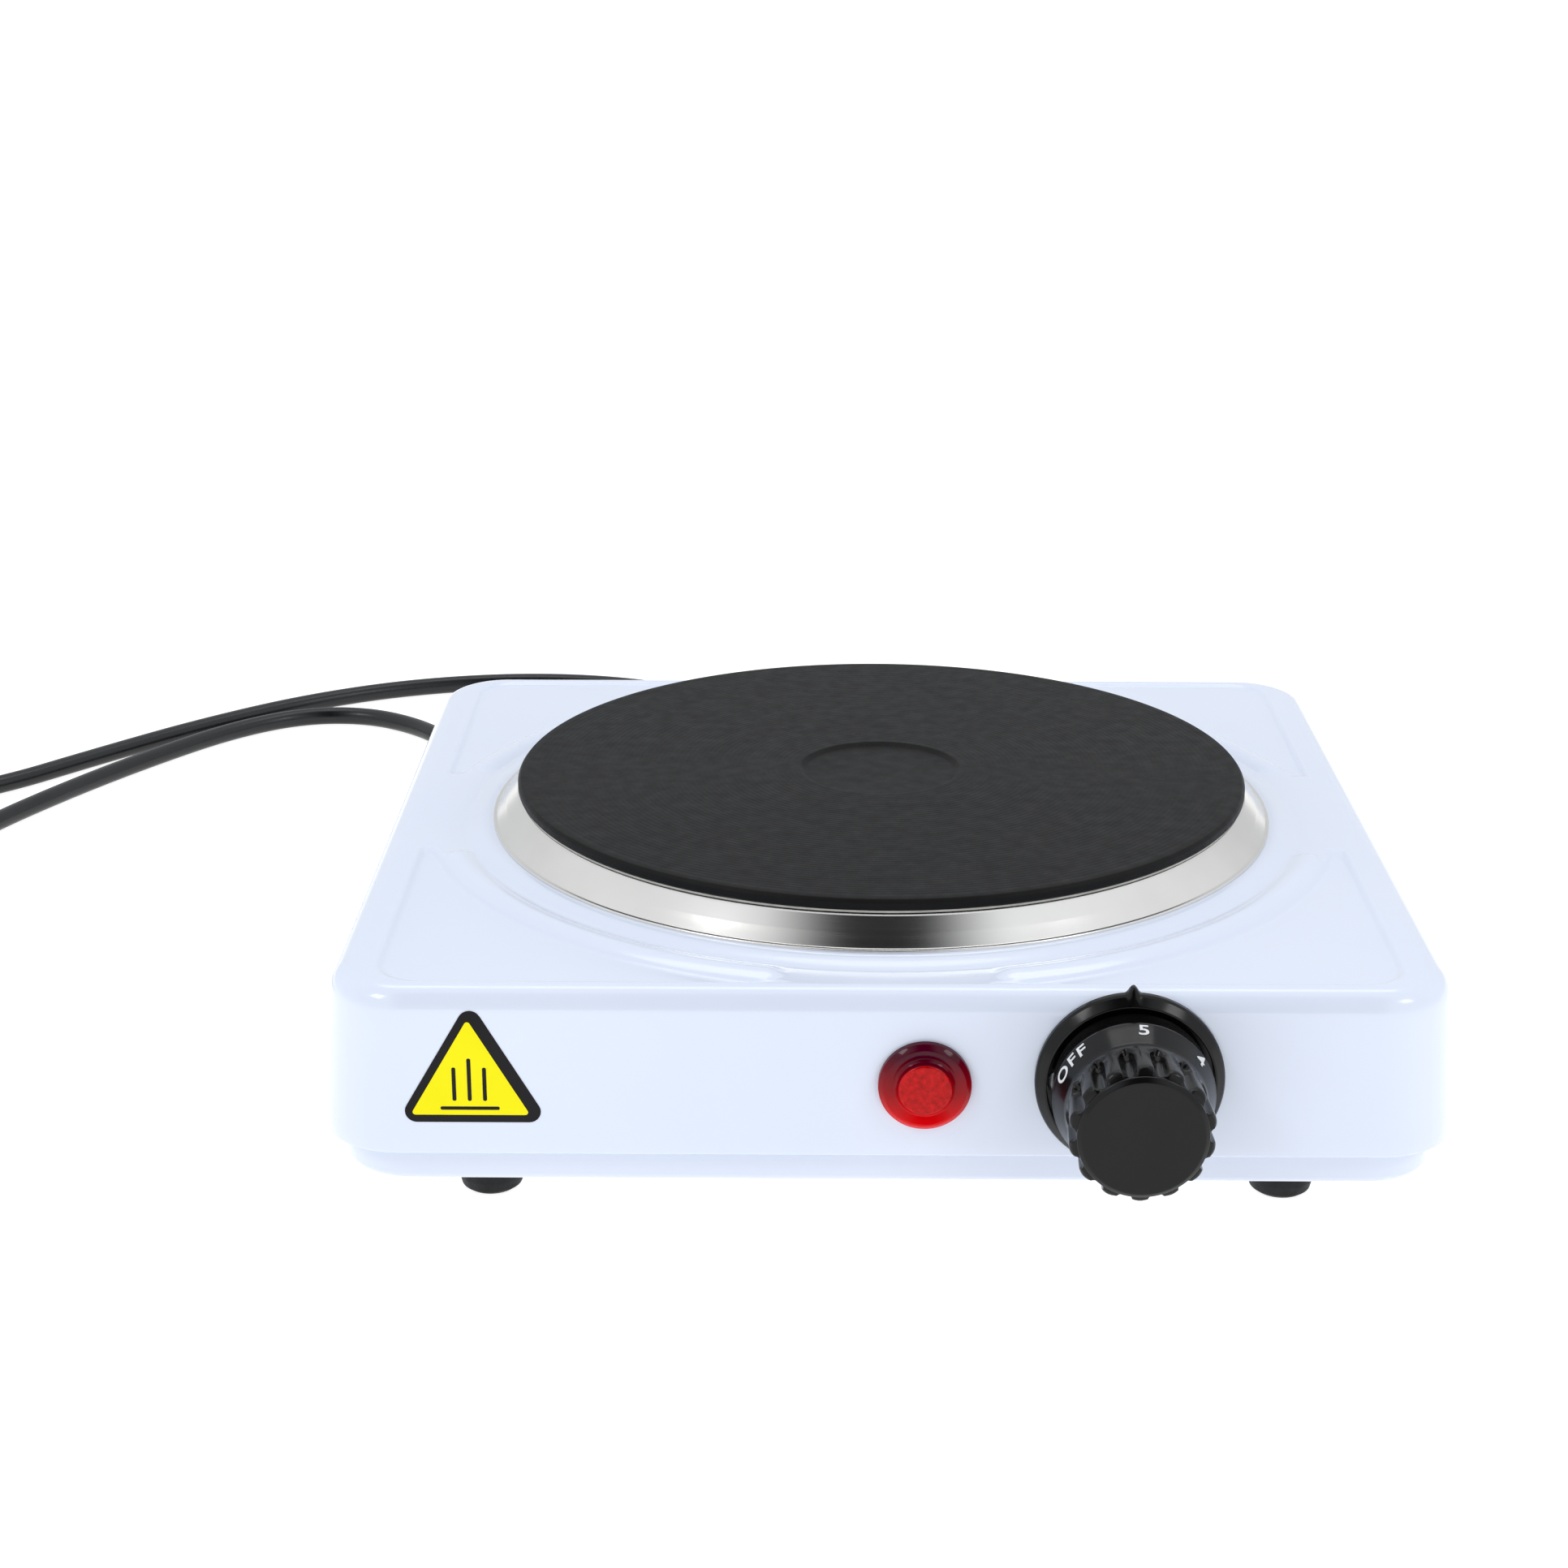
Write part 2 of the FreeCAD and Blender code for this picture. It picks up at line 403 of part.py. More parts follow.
nodes["element_wire"] = sweep([(KX - 24, YT + 12.8, KZ), (14, YT + 12.8, KZ - 1), (ax, -66, 30), (ax, ay, 30), (ax, ay, 38)], WR)
nodes["earth_stud"] = cyl(2.0, (-22, 45, 12), (-22, 45, 19.5))
nodes["earth_nut"] = hexagon(7.0, 14.6, 17.8, -22, 45).cut(cyl(2.0, (-22, 45, 12), (-22, 45, 20)))
tab = tube(4.2, 2.0, (-22, 45, 12.0), (-22, 45, 14.6)).fuse(
    block(-33, -22, 43.4, 46.6, 13.6, 14.6).cut(cyl(3.0, (-22, 45, 13), (-22, 45, 15))))
nodes["earth_tab"] = tab.fuse(cyl(1.6, (-37, 45, 14.1), (-32.5, 45, 14.1))).removeSplitter()
nodes["earth_wire"] = sweep([(-44, 60, 19), (-44, 53, 16.5), (-43.5, 46.5, 14.1), (-37, 45, 14.1)], WR)
nodes["lamp_wires"] = group([
    sweep([(LX + 1.7, YF + 15, LZ), (LX + 1.7, YF + 21, LZ), (16, -69, 42.5), (KX - 20, -74, 45.5), (KX - 20, YT + 12.8, 43.5), (KX - 20, YT + 12.8, KZ + 3)], 0.7),
    sweep([(LX - 1.7, YF + 15, LZ), (LX - 1.7, YF + 22, 33), (-10, -45, 25), (-34, 15, 18.5), (-49.5, 40, 16.0), (-49.5, 60, 17.0)], 0.7)])

# cord anchor inside the rear wall
anchor = block(EXIT_X - 9, EXIT_X + 9, 108.5, 115.5, 12, EXIT_Z).cut(cyl(CORD_R, (EXIT_X, 100, EXIT_Z), (EXIT_X, 120, EXIT_Z)))
bar2 = block(EXIT_X - 9, EXIT_X + 9, 108.5, 115.5, EXIT_Z, EXIT_Z + 5).cut(cyl(CORD_R, (EXIT_X, 100, EXIT_Z), (EXIT_X, 120, EXIT_Z)))
scr = []
for s in (-6.3, 6.3):
    anchor = anchor.cut(cyl(1.4, (EXIT_X + s, 112, 17), (EXIT_X + s, 112, 40)))
    bar2 = bar2.cut(cyl(1.4, (EXIT_X + s, 112, 17), (EXIT_X + s, 112, 40)))
    scr.append(cyl(1.4, (EXIT_X + s, 112, 17), (EXIT_X + s, 112, EXIT_Z + 5)).fuse(cyl(2.5, (EXIT_X + s, 112, EXIT_Z + 5), (EXIT_X + s, 112, EXIT_Z + 6.8))))
nodes["cord_anchor"] = anchor
nodes["cord_clamp_bar"] = bar2
nodes["clamp_screws"] = group(scr)
# tapered strain relief through the rear wall
relief = lathe([(CORD_R, 118.4), (9.0, 118.4), (9.0, 120.5), (7.0, 120.5), (7.0, 121.5), (8.6, 121.5), (8.6, 124.0), (6.2, 125.2),
                (4.1, 150.7), (3.7, RELIEF_Y1), (CORD_R, RELIEF_Y1)], (EXIT_X, 0, EXIT_Z), (0, 1, 0), (1, 0, 0))
nodes["cord_strain_relief"] = relief

# ------------------------------------------------------- lead and plug
nodes["power_cord"] = sweep(ROUTE, CORD_R, report="power_cord")
PX0, PY, PZ = ROUTE[-1]
plug = lathe([(0, 0.0), (4.4, 0.0), (6.2, 16.0), (8.5, 19.0), (13.0, 27.0), (16.5, 31.0), (18.3, 36.0), (18.5, 50.0), (17.6, 52.0), (0, 52.0)],
             (PX0, PY, PZ), (1, 0, 0), (0, 1, 0))
# finger flats at the sides of the grip, earth contact grooves above and below
for s in (-1, 1):
    plug = plug.cut(block(PX0 + 40, PX0 + 53, PY - 4.0, PY + 4.0, min(PZ + s * 16.6, PZ + s * 20), max(PZ + s * 16.6, PZ + s * 20)))
nodes["plug_body"] = plug
nodes["plug_earth_clips"] = group([block(PX0 + 40, PX0 + 52, PY - 3.0, PY + 3.0, min(PZ + s * 16.6, PZ + s * 17.4), max(PZ + s * 16.6, PZ + s * 17.4)) for s in (-1, 1)])
nodes["plug_pins"] = group([lathe([(0, 52.0), (2.4, 52.0), (2.4, 69.6), (1.4, 71.0), (0, 71.0)], (PX0, PY + s * 9.5, PZ), (1, 0, 0), (0, 1, 0)) for s in (-1, 1)])

# ------------------------------------------------------------------- export
for name, shape in nodes.items():
    if not shape.isValid():
        print("INVALID", name)
    for s in shape.Solids:
        if s.Volume <= 0:
            print("NEGATIVE", name)
    if not shape.Solids:
        print("NO SOLID", name)
    if shape.ShapeType != "Compound" and len(shape.Solids) == 1:
        shape = shape.Solids[0]
    shape.exportStep("parts/%s.step" % name)
print(len(nodes), "nodes")
b = None
for name, shape in nodes.items():
    if name in ("power_cord", "cord_tail", "cord_strain_relief", "plug_body", "plug_pins", "plug_earth_clips"):
        continue
    bb = shape.BoundBox
    b = FreeCAD.BoundBox(bb) if b is None else b.united(bb)
print("box without the lead", b)
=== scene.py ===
import bpy, json, math
from mathutils import Vector, Matrix


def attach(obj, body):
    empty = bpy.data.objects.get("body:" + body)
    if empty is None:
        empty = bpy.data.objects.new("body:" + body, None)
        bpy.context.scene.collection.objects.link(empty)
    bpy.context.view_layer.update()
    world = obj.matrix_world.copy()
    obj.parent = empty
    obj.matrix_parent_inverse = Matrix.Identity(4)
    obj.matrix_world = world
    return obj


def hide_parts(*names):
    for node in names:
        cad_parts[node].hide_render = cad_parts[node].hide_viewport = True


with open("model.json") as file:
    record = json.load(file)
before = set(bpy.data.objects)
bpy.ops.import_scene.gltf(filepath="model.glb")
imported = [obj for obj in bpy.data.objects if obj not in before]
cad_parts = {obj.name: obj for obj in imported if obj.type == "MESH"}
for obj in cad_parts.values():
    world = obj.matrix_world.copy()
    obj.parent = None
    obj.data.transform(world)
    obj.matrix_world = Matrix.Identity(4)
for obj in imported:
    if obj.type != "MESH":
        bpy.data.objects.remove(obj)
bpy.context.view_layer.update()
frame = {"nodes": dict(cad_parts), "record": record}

NODES = frame["nodes"]
MM = 0.001

# ------------------------------------------------------------- shared sizes
YC = 13.5
HY, HX_RIM, HX_TOP, CORNER_R = 108.0, 117.2, 114.8, 17.0
Z_TOP, Z_RIM, TOP_R, SHEET = 54.0, 18.0, 5.0, 1.0
HOLE_R = 83.4
COLLAR_Z = 55.4
YF, YB = YC - HY, YC + HY
KX, KZ = 48.3, 35.4
LX, LZ = 7.05, 34.1
EXIT_X, EXIT_Z = -72.0, 31.0
CORD_R, CORD_Z = 2.7, 2.75
ROUTE = [
    (-72.0, 150.0, 31.0), (-72.0, 168.0, 31.0), (-77.0, 186.0, 23.5),
    (-90.0, 199.5, 12.5), (-109.0, 207.5, 4.8), (-128.5, 218.0, CORD_Z),
    (-143.0, 235.0, CORD_Z), (-160.0, 244.5, CORD_Z), (-180.0, 243.0, CORD_Z),
    (-199.5, 227.5, CORD_Z), (-219.0, 200.0, CORD_Z), (-236.5, 171.0, CORD_Z),
    (-253.0, 138.0, CORD_Z), (-264.0, 103.0, CORD_Z), (-284.0, 73.0, CORD_Z),
    (-315.0, 65.0, CORD_Z), (-340.0, 86.0, CORD_Z), (-343.0, 120.0, CORD_Z),
    (-320.0, 144.0, CORD_Z), (-287.0, 155.0, CORD_Z), (-258.0, 174.0, CORD_Z),
    (-236.0, 201.0, CORD_Z), (-210.0, 231.0, CORD_Z), (-180.0, 258.0, CORD_Z),
    (-146.0, 276.0, CORD_Z), (-107.0, 283.0, CORD_Z), (-70.0, 276.0, CORD_Z),
    (-43.0, 256.0, CORD_Z), (-27.0, 228.0, CORD_Z), (-14.0, 200.0, CORD_Z),
    (-2.0, 180.0, 5.5), (13.0, 168.0, 12.5), (32.0, 165.0, 18.6),
    (52.0, 165.0, 18.6),
]

# ------------------------------------------------------------------- camera
cam_data = bpy.data.cameras.new("camera")
cam = bpy.data.objects.new("camera", cam_data)
bpy.context.scene.collection.objects.link(cam)
cam_data.sensor_width = 36.0
cam_data.lens = 64.53
cam_data.clip_end = 60.0
cam.location = (-15.8 * MM, (-624.4 + YC) * MM, (224.6 + Z_TOP) * MM)
cam.rotation_euler = (math.radians(90 - 19.25), 0.0, math.radians(0.62))
bpy.context.scene.camera = cam


# ---------------------------------------------------------------- materials
def srgb(r, g, b):
    def f(c):
        c /= 255.0
        return c / 12.92 if c <= 0.04045 else ((c + 0.055) / 1.055) ** 2.4
    return (f(r), f(g), f(b), 1.0)


def new_material(name):
    m = bpy.data.materials.new(name)
    m.use_nodes = True
    nt = m.node_tree
    return m, nt, nt.nodes["Principled BSDF"]


def node(nt, kind, **kw):
    n = nt.nodes.new(kind)
    for k, v in kw.items():
        setattr(n, k, v)
    return n


def noise(nt, vec, scale, detail=4.0, rough=0.55):
    n = node(nt, "ShaderNodeTexNoise")
    n.inputs["Scale"].default_value = scale
    n.inputs["Detail"].default_value = detail
    n.inputs["Roughness"].default_value = rough
    nt.links.new(vec, n.inputs["Vector"])
    return n.outputs["Fac"]


def ramp(nt, fac, stops):
    r = node(nt, "ShaderNodeValToRGB")
    el = r.color_ramp.elements
    while len(el) < len(stops):
        el.new(0.5)
    for e, (p, c) in zip(el, stops):
        e.position = p
        e.color = c if len(c) == 4 else (*c, 1.0)
    nt.links.new(fac, r.inputs["Fac"])
    return r.outputs["Color"]


def grey(v):
    return (v, v, v, 1.0)


def bump(nt, bsdf, height, strength, distance, previous=None):
    b = node(nt, "ShaderNodeBump")
    b.inputs["Strength"].default_value = strength
    b.inputs["Distance"].default_value = distance
    nt.links.new(height, b.inputs["Height"])
    if previous is not None:
        nt.links.new(previous, b.inputs["Normal"])
    nt.links.new(b.outputs["Normal"], bsdf.inputs["Normal"])
    return b.outputs["Normal"]


def surface(name, dark, light, rough=(0.3, 0.45), metallic=0.0, coat=0.0, coat_rough=0.05, tint_scale=40.0,
            bump_scale=900.0, bump_strength=0.08, bump_distance=0.0002, specular=0.5, transmission=0.0, ior=1.5,
            wave=None):
    """Painted, moulded or metal finish: slow colour drift, uneven gloss, fine relief."""
    m, nt, b = new_material(name)
    tc = node(nt, "ShaderNodeTexCoord").outputs["Object"]
    col = ramp(nt, noise(nt, tc, tint_scale), [(0.3, dark), (0.7, light)])
    nt.links.new(col, b.inputs["Base Color"])
    rg = ramp(nt, noise(nt, tc, tint_scale * 4.3, 6.0), [(0.3, grey(rough[0])), (0.7, grey(rough[1]))])
    nt.links.new(rg, b.inputs["Roughness"])
    b.inputs["Metallic"].default_value = metallic
    b.inputs["Coat Weight"].default_value = coat
    b.inputs["Coat Roughness"].default_value = coat_rough
    b.inputs["Specular IOR Level"].default_value = specular
    b.inputs["Transmission Weight"].default_value = transmission
    b.inputs["IOR"].default_value = ior
    bump(nt, b, noise(nt, tc, bump_scale, 3.0), bump_strength, bump_distance)
    return m


MAT = {}
MAT["white_enamel"] = surface("white_enamel", srgb(225, 234, 251), srgb(230, 238, 254), rough=(0.13, 0.20), coat=0.35,
                              tint_scale=9.0, bump_scale=700.0, bump_strength=0.05, bump_distance=0.0001)
MAT["zinc_steel"] = surface("zinc_steel", srgb(150, 152, 155), srgb(190, 192, 196), rough=(0.28, 0.42), metallic=1.0, tint_scale=60.0)
MAT["black_gloss_plastic"] = surface("black_gloss_plastic", srgb(8, 8, 9), srgb(15, 15, 16), rough=(0.13, 0.2), specular=0.26,
                                     tint_scale=80.0, bump_scale=2400.0, bump_strength=0.06, bump_distance=0.00005)
MAT["black_rubber"] = surface("black_rubber", srgb(12, 12, 13), srgb(22, 22, 23), rough=(0.5, 0.65), specular=0.3, tint_scale=120.0,
                              bump_scale=1800.0, bump_strength=0.25, bump_distance=0.0001)
MAT["cord_black"] = surface("cord_black", srgb(13, 14, 16), srgb(24, 25, 28), rough=(0.24, 0.34), specular=0.42, tint_scale=50.0,
                            bump_scale=1500.0, bump_strength=0.12, bump_distance=0.0001)
MAT["white_nylon"] = surface("white_nylon", srgb(222, 220, 212), srgb(234, 232, 226), rough=(0.35, 0.5), tint_scale=60.0)
MAT["ceramic_white"] = surface("ceramic_white", srgb(222, 216, 202), srgb(240, 236, 226), rough=(0.6, 0.8), tint_scale=90.0,
                               bump_scale=1400.0, bump_strength=0.3)
MAT["phenolic_brown"] = surface("phenolic_brown", srgb(70, 40, 28), srgb(92, 56, 40), rough=(0.35, 0.5), tint_scale=150.0)
MAT["brass"] = surface("brass", srgb(196, 158, 88), srgb(222, 188, 118), rough=(0.22, 0.36), metallic=1.0, tint_scale=90.0)
MAT["resistance_alloy"] = surface("resistance_alloy", srgb(96, 90, 84), srgb(128, 120, 110), rough=(0.4, 0.6), metallic=1.0, tint_scale=140.0)
MAT["wire_sleeve"] = surface("wire_sleeve", srgb(206, 196, 172), srgb(226, 218, 198), rough=(0.6, 0.8), tint_scale=200.0,
                             bump_scale=2600.0, bump_strength=0.5)
MAT["mineral_gasket"] = surface("mineral_gasket", srgb(188, 186, 178), srgb(212, 210, 202), rough=(0.8, 0.95), tint_scale=300.0,
                                bump_scale=2200.0, bump_strength=0.6)
MAT["clear_glass"] = surface("clear_glass", srgb(250, 235, 220), srgb(255, 244, 234), rough=(0.02, 0.06), transmission=0.9, ior=1.46)
MAT["sign_yellow"] = surface("sign_yellow", srgb(252, 240, 4), srgb(255, 246, 14), rough=(0.35, 0.45), coat=0.0, specular=0.15, tint_scale=70.0)
MAT["sign_black"] = surface("sign_black", srgb(14, 12, 15), srgb(24, 22, 26), rough=(0.35, 0.45), coat=0.0, specular=0.2, tint_scale=70.0)
MAT["print_white"] = surface("print_white", srgb(214, 216, 220), srgb(236, 238, 240), rough=(0.4, 0.55), tint_scale=300.0)


def math_node(nt, op, a, b=None):
    n = node(nt, "ShaderNodeMath", operation=op)
    for k, v in enumerate((a, b)):
        if v is None:
            continue
        if isinstance(v, (int, float)):
            n.inputs[k].default_value = v
        else:
            nt.links.new(v, n.inputs[k])
    return n.outputs[0]


def red_lens():
    """Clear red moulding: painted shade darkens the upper part of the outer ring and painted light brightens it below,
    speckled disc in the middle.
    """
    m, nt, b = new_material("red_lens")
    tc = node(nt, "ShaderNodeTexCoord").outputs["Object"]
    sep = node(nt, "ShaderNodeSeparateXYZ")
    nt.links.new(tc, sep.inputs[0])
    dx = math_node(nt, "SUBTRACT", sep.outputs["X"], LX * MM)
    dz = math_node(nt, "SUBTRACT", sep.outputs["Z"], LZ * MM)
    r = math_node(nt, "SQRT", math_node(nt, "ADD", math_node(nt, "MULTIPLY", dx, dx), math_node(nt, "MULTIPLY", dz, dz)))
    # painted light and shade: the ring colour runs from bright red at the bottom to dark purple at the top, as if lit
    # from above
    up = math_node(nt, "ADD", math_node(nt, "MULTIPLY", dz, 0.5 / 0.0095), 0.5)
    painted_flange_shading = ramp(nt, up, [(0.12, srgb(214, 4, 12)), (0.45, srgb(150, 2, 14)), (0.85, srgb(70, 0, 26))])
    speck = ramp(nt, noise(nt, tc, 900.0, 4.0, 0.6), [(0.35, srgb(158, 0, 2)), (0.68, srgb(206, 12, 14))])
    disc = math_node(nt, "LESS_THAN", r, 0.0054)
    mix = node(nt, "ShaderNodeMix", data_type="RGBA")
    nt.links.new(disc, mix.inputs["Factor"])
    nt.links.new(painted_flange_shading, mix.inputs["A"])
    nt.links.new(speck, mix.inputs["B"])
    nt.links.new(mix.outputs["Result"], b.inputs["Base Color"])
    nt.links.new(mix.outputs["Result"], b.inputs["Emission Color"])
    b.inputs["Emission Strength"].default_value = 0.12
    nt.links.new(ramp(nt, noise(nt, tc, 300.0), [(0.3, grey(0.08)), (0.7, grey(0.14))]), b.inputs["Roughness"])
    b.inputs["Transmission Weight"].default_value = 0.08
    b.inputs["IOR"].default_value = 1.45
    b.inputs["Specular IOR Level"].default_value = 0.22
    bump(nt, b, noise(nt, tc, 420.0, 1.0), 0.2, 0.0002)
    return m


MAT["red_lens"] = red_lens()


def polished_steel():
    """Turned and polished: fine grooves run round the ring, so the roughness is streaked along it."""
    m, nt, b = new_material("polished_steel")
    tc = node(nt, "ShaderNodeTexCoord").outputs["Object"]
    sep = node(nt, "ShaderNodeSeparateXYZ")
    nt.links.new(tc, sep.inputs[0])
    dy = node(nt, "ShaderNodeMath", operation="SUBTRACT")
    nt.links.new(sep.outputs["Y"], dy.inputs[0])
    dy.inputs[1].default_value = YC * MM
    x2 = node(nt, "ShaderNodeMath", operation="MULTIPLY")
    nt.links.new(sep.outputs["X"], x2.inputs[0]); nt.links.new(sep.outputs["X"], x2.inputs[1])
    y2 = node(nt, "ShaderNodeMath", operation="MULTIPLY")
    nt.links.new(dy.outputs[0], y2.inputs[0]); nt.links.new(dy.outputs[0], y2.inputs[1])
    s = node(nt, "ShaderNodeMath", operation="ADD")
    nt.links.new(x2.outputs[0], s.inputs[0]); nt.links.new(y2.outputs[0], s.inputs[1])
    r = node(nt, "ShaderNodeMath", operation="SQRT")
    nt.links.new(s.outputs[0], r.inputs[0])
    comb = node(nt, "ShaderNodeCombineXYZ")
    nt.links.new(r.outputs[0], comb.inputs["X"]); nt.links.new(sep.outputs["Z"], comb.inputs["Y"])
    fine = noise(nt, comb.outputs[0], 5200.0, 2.0)
    col = ramp(nt, noise(nt, tc, 18.0), [(0.3, srgb(214, 212, 208)), (0.7, srgb(232, 231, 228))])
    nt.links.new(col, b.inputs["Base Color"])
    rg = ramp(nt, fine, [(0.25, grey(0.13)), (0.75, grey(0.20))])
    nt.links.new(rg, b.inputs["Roughness"])
    b.inputs["Metallic"].default_value = 1.0
    bump(nt, b, fine, 0.05, 0.00005)
    return m


MAT["polished_steel"] = polished_steel()


def stove_black():
    m, nt, b = new_material("cast_iron_black")
    tc = node(nt, "ShaderNodeTexCoord").outputs["Object"]
    col = ramp(nt, noise(nt, tc, 70.0, 8.0), [(0.3, srgb(11, 11, 12)), (0.7, srgb(16, 16, 16))])
    nt.links.new(col, b.inputs["Base Color"])
    rg = ramp(nt, noise(nt, tc, 260.0, 6.0), [(0.3, grey(0.46)), (0.7, grey(0.56))])
    nt.links.new(rg, b.inputs["Roughness"])
    b.inputs["Specular IOR Level"].default_value = 0.14
    n1 = bump(nt, b, noise(nt, tc, 1500.0, 5.0, 0.65), 0.35, 0.00012)
    bump(nt, b, noise(nt, tc, 240.0, 3.0), 0.1, 0.0003, n1)
    return m


MAT["cast_iron_black"] = stove_black()

SLOT = {s["node"]: s["material_slot"] for s in frame["record"]["subparts"]}
for name, obj in NODES.items():
    obj.data.materials.clear()
    obj.data.materials.append(MAT[SLOT[name]])
    obj.data.shade_smooth()
    obj.data.set_sharp_from_angle(angle=math.radians(35))


# ------------------------------------------------------------- mesh helpers
def add_mesh(name, verts, faces, mat, body="base", sharp=35):
    me = bpy.data.meshes.new(name)
    me.from_pydata([tuple(c * MM for c in v) for v in verts], [], faces)
    me.validate()
    me.shade_smooth()
    if sharp:
        me.set_sharp_from_angle(angle=math.radians(sharp))
    me.materials.append(MAT[mat])
    o = bpy.data.objects.new(name, me)
    bpy.context.scene.collection.objects.link(o)
    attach(o, body)
    return o


def rounded(points, n=5, closed=True):
    """Polyline with its corners rounded. A point is (a, b) or (a, b, radius)."""
    out, count = [], len(points)
    for i, p in enumerate(points):
        r = p[2] if len(p) > 2 else 0.0
        if r <= 0 or (not closed and i in (0, count - 1)):
            out.append((p[0], p[1]))
            continue
        a, b, c = Vector(points[i - 1][:2]), Vector(p[:2]), Vector(points[(i + 1) % count][:2])
        u, v = (a - b), (c - b)
        lu, lv = u.length, v.length
        u.normalize(); v.normalize()
        half = u.angle(v) / 2
        t = min(r / math.tan(half), 0.49 * min(lu, lv))
        rr = t * math.tan(half)
        centre = b + (u + v).normalized() * (rr / math.sin(half))
        p0, p1 = b + u * t, b + v * t
        a0 = math.atan2(p0.y - centre.y, p0.x - centre.x)
        a1 = math.atan2(p1.y - centre.y, p1.x - centre.x)
        d = (a1 - a0 + math.pi) % (2 * math.pi) - math.pi
        for k in range(n + 1):
            q = a0 + d * k / n
            out.append((centre.x + rr * math.cos(q), centre.y + rr * math.sin(q)))
    return out


def lathe(profile, place, seg=192, closed=True, radius=None):
    """Turned surface. place(r, h, angle) gives a point; radius(r, h, angle) may change r."""
    verts, faces, rows = [], [], []
    for r, h in profile:
        if r < 1e-6:
            rows.append([len(verts)])
            verts.append(place(0.0, h, 0.0))
        else:
            rows.append(list(range(len(verts), len(verts) + seg)))
            for k in range(seg):
                a = 2 * math.pi * k / seg
                rr = radius(r, h, a) if radius else r
                verts.append(place(rr, h, a))
    pairs = [(rows[i], rows[i + 1]) for i in range(len(rows) - 1)]
    if closed:
        pairs.append((rows[-1], rows[0]))
    for a, b in pairs:
        if len(a) == 1 and len(b) == 1:
            continue
        for k in range(seg):
            j = (k + 1) % seg
            if len(a) == 1:
                faces.append((a[0], b[j], b[k]))
            elif len(b) == 1:
                faces.append((a[k], a[j], b[0]))
            else:
                faces.append((a[k], a[j], b[j], b[k]))
    return verts, faces


def about_z(cx=0.0, cy=YC):
    return lambda r, h, a: (cx + r * math.cos(a), cy + r * math.sin(a), h)


def about_front(x, z):
    """Turned about a line that leaves the front wall; h is the distance in front of the wall."""
    return lambda r, h, a: (x + r * math.sin(a), YF - h, z + r * math.cos(a))


def outward(o):
    """Makes the faces of a closed mesh point out."""
    import bmesh
    bm = bmesh.new()
    bm.from_mesh(o.data)
    bmesh.ops.recalc_face_normals(bm, faces=bm.faces)
    bm.to_mesh(o.data)
    bm.free()
    return o


def smooth01(t):
    t = max(0.0, min(1.0, t))
    return t * t * (3 - 2 * t)


# ---------------------------------------------------------------- the lead
def nurbs(name, points, radius, mat):
    cu = bpy.data.curves.new(name, "CURVE")
    cu.dimensions = "3D"
    sp = cu.splines.new("NURBS")
    sp.points.add(len(points) - 1)
    for p, q in zip(sp.points, points):
        p.co = (q[0] * MM, q[1] * MM, q[2] * MM, 1.0)
    sp.order_u = 3
    sp.use_endpoint_u = True
    sp.resolution_u = 10
    cu.resolution_u = 10
    cu.bevel_depth = radius * MM
    cu.bevel_resolution = 8
    cu.use_fill_caps = True
    cu.materials.append(MAT[mat])
    o = bpy.data.objects.new(name, cu)
    bpy.context.scene.collection.objects.link(o)
    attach(o, "base")
    return o


lead = nurbs("mains_lead", ROUTE, CORD_R, "cord_black")
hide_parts("power_cord")


def along_y(x, z):
    return lambda r, h, a: (x + r * math.cos(a), h, z + r * math.sin(a))


relief_profile = [(2.75, 118.4), (9.0, 118.4), (9.0, 120.5), (7.0, 120.5), (7.0, 121.5), (8.6, 121.5), (8.6, 123.4, 0.6), (6.9, 124.4, 0.6)]
for i in range(7):
    y0 = 125.4 + 3.3 * i
    r0 = 6.5 - 0.34 * i
    relief_profile += [(r0 - 0.9, y0, 0.3), (r0 - 0.9, y0 + 0.9, 0.3), (r0, y0 + 1.1, 0.3), (r0 - 0.2, y0 + 3.1, 0.3)]
relief_profile += [(3.9, 150.4, 0.5), (3.4, 151.4, 0.3), (2.75, 151.5)]
v, f = lathe(rounded(relief_profile, 3), along_y(EXIT_X, EXIT_Z), 64)
relief = outward(add_mesh("strain_relief", v, f, "black_rubber", sharp=50))
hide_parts("cord_strain_relief")

PX, PY, PZ = ROUTE[-1]


def plug_place(r, h, a):
    return (PX + h, PY + r * math.cos(a), PZ + r * math.sin(a))


def plug_radius(r, h, a):
    """Grip is squeezed a little at two sides; earth grooves are cut above and below near the face."""
    grip = math.exp(-((h - 27.0) / 7.0) ** 2)
    r = r * (1 - 0.10 * grip * abs(math.cos(a)) ** 3)
    if h > 39.5:
        d = abs(abs(math.degrees(a) % 360 - 180) - 90)
        if d < 12.5 and r > 15:
            r -= 1.9 * smooth01((12.5 - d) / 1.5)
    return r


plug_profile = [(0, 0.0), (4.2, 0.0, 0.3)]
for i in range(4):
    x0 = 1.6 + 3.4 * i
    r0 = 4.5 + 0.42 * i
    plug_profile += [(r0, x0, 0.2), (r0, x0 + 2.2, 0.2), (r0 - 0.8, x0 + 2.5, 0.2), (r0 - 0.8, x0 + 3.2, 0.2)]
plug_profile += [(6.3, 15.6, 0.4), (8.7, 18.6, 1.5), (12.6, 26.0, 3.0), (16.6, 31.0, 3.0), (18.3, 35.5, 2.0), (18.45, 50.2, 1.2), (17.4, 51.9, 0.6), (16.0, 52.0), (15.6, 51.2, 0.3), (0, 51.2)]
v, f = lathe(rounded(plug_profile, 4, closed=False), plug_place, 144, closed=False, radius=plug_radius)
plug = outward(add_mesh("mains_plug", v, f, "cord_black", sharp=45))
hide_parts("plug_body")


